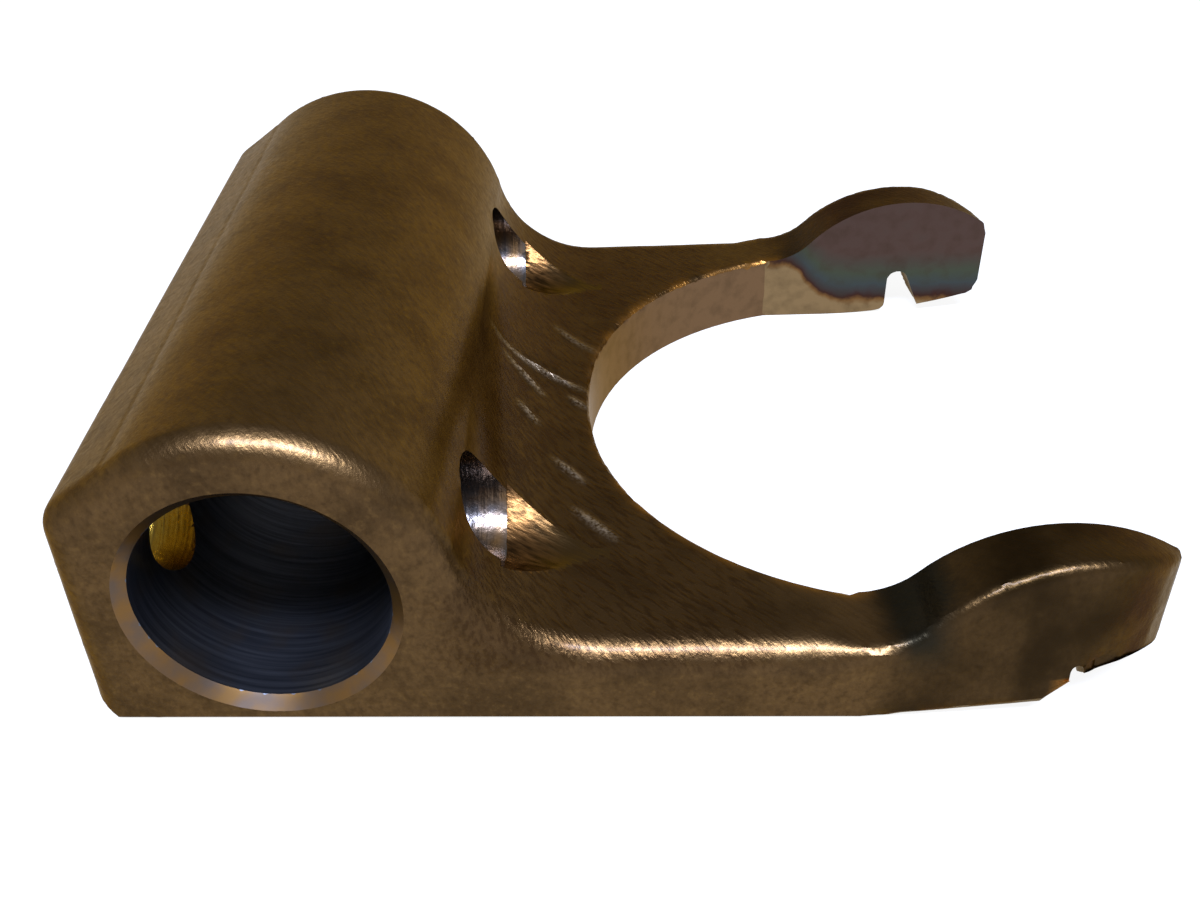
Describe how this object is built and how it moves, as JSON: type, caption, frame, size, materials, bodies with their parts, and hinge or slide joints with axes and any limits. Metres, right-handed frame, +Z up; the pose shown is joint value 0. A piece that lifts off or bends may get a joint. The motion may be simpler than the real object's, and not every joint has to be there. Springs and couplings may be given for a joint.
{
  "type": "clutch fork",
  "caption": "Forged clutch release fork: a bored hub clamped to a cross shaft, with a flat web, a wide open throat and crowned, notched finger pads.",
  "frame": {"origin": "on the flat underside, straight below the middle of the bore", "axes": "+X from the cross shaft to the finger tips, +Y along the shaft, +Z up from the flat underside"},
  "size_m": [0.1071, 0.0876, 0.0347],
  "materials": {
    "forged_steel": "shot-blasted forging skin, lightly oiled; bore, bolt hole and pads machined"
  },
  "bodies": {
    "root": {"clutch_fork": "forged_steel"}
  },
  "joints": []
}
